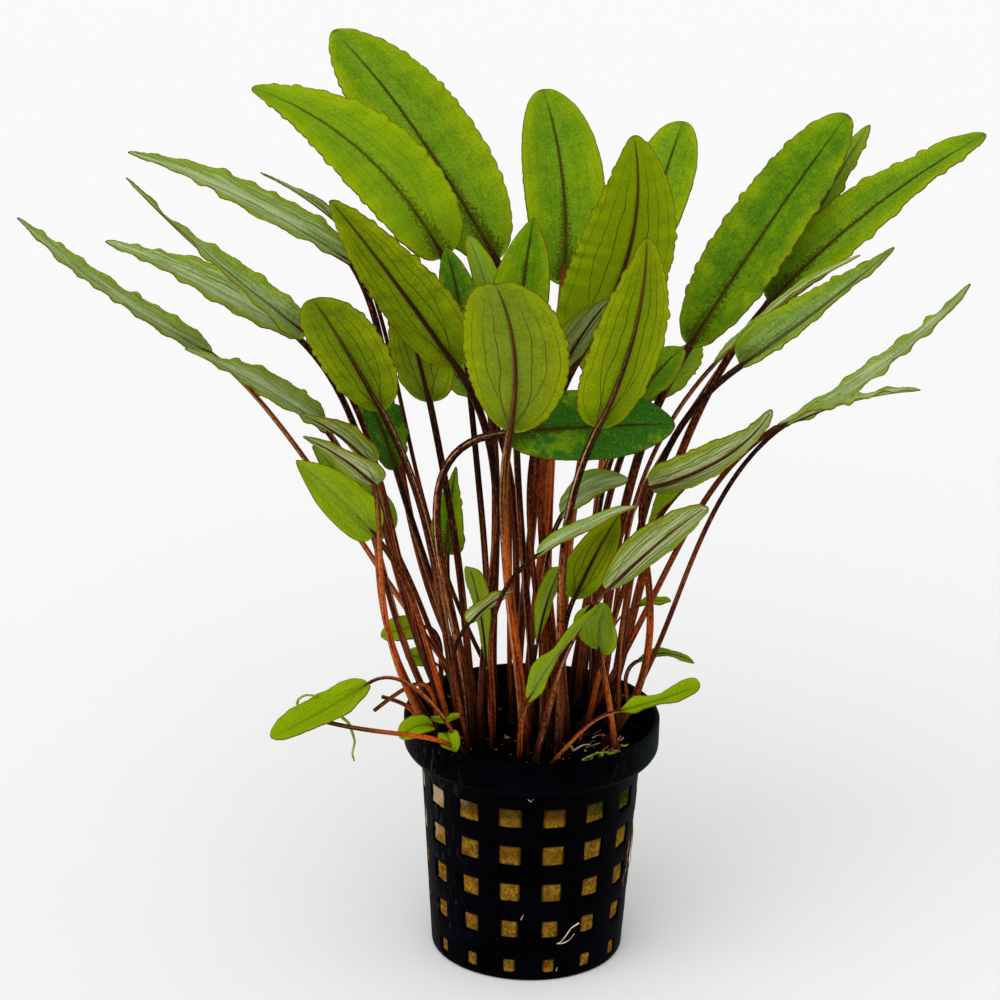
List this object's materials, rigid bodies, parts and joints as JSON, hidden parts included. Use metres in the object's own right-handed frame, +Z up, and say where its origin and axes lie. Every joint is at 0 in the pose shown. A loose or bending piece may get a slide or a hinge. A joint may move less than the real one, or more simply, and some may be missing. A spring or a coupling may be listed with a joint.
{
  "type": "potted cryptocoryne",
  "caption": "Bunch of young broad-leaved aquarium plants with long brown stalks, rooted in rock wool in a black plastic net pot.",
  "frame": {"origin": "centre of the net pot's flat base, on the surface that it stands on", "axes": "+Z up, +X to the right along the plant's broad spread, -Y towards the viewer of the picture"},
  "size_m": [0.1995, 0.104, 0.1878],
  "materials": {
    "pot_plastic": "gloss black injection-moulded plastic",
    "rock_wool": "damp ochre mineral-fibre wool",
    "leaf_green": "satin mid-green leaf, upper side",
    "leaf_olive": "satin olive leaf, underside with red-brown veins",
    "leaf_pale": "satin grey-green leaf seen nearly edge-on",
    "leaf_young": "satin yellow-green young leaf",
    "stalk_brown": "satin red-brown bare stalk"
  },
  "bodies": {
    "root": {"net_pot": "pot_plastic", "rock_wool_plug": "rock_wool", "leaf_top_1": "leaf_green", "leaf_top_2": "leaf_green", "leaf_top_3": "leaf_green", "leaf_top_4": "leaf_green", "leaf_top_5": "leaf_olive", "leaf_top_6": "leaf_olive", "leaf_top_7": "leaf_olive", "leaf_top_8": "leaf_green", "leaf_top_9": "leaf_young", "leaf_top_10": "leaf_green", "leaf_left_1": "leaf_olive", "leaf_left_2": "leaf_olive", "leaf_left_3": "leaf_olive", "leaf_left_4": "leaf_green", "leaf_left_5": "leaf_pale", "leaf_left_6": "leaf_pale", "leaf_left_7": "leaf_pale", "leaf_left_8": "leaf_pale", "leaf_left_9": "leaf_pale", "leaf_left_10": "leaf_pale", "leaf_left_11": "leaf_pale", "leaf_left_12": "leaf_pale", "leaf_left_13": "leaf_young", "leaf_left_14": "leaf_young", "leaf_right_1": "leaf_green", "leaf_right_2": "leaf_green", "leaf_right_3": "leaf_green", "leaf_right_4": "leaf_pale", "leaf_right_5": "leaf_pale", "leaf_right_6": "leaf_pale", "leaf_right_7": "leaf_pale", "leaf_right_8": "leaf_pale", "leaf_right_9": "leaf_young", "leaf_right_10": "leaf_young", "leaf_right_11": "leaf_pale", "leaf_middle_1": "leaf_green", "leaf_middle_2": "leaf_green", "leaf_middle_3": "leaf_pale", "leaf_middle_4": "leaf_pale", "leaf_middle_5": "leaf_young", "leaf_middle_6": "leaf_young", "leaf_middle_7": "leaf_olive", "leaf_middle_8": "leaf_young", "leaf_middle_9": "leaf_pale", "leaf_middle_10": "leaf_pale", "leaf_low_1": "leaf_green", "leaf_low_2": "leaf_green", "leaf_low_3": "leaf_young", "leaf_low_4": "leaf_green", "leaf_low_5": "leaf_young", "leaf_low_6": "leaf_young", "leaf_back_1": "leaf_green", "leaf_back_2": "leaf_green", "leaf_back_3": "leaf_green", "leaf_back_4": "leaf_green", "cut_stalk_1": "stalk_brown", "cut_stalk_2": "stalk_brown", "cut_stalk_3": "stalk_brown"}
  },
  "joints": []
}
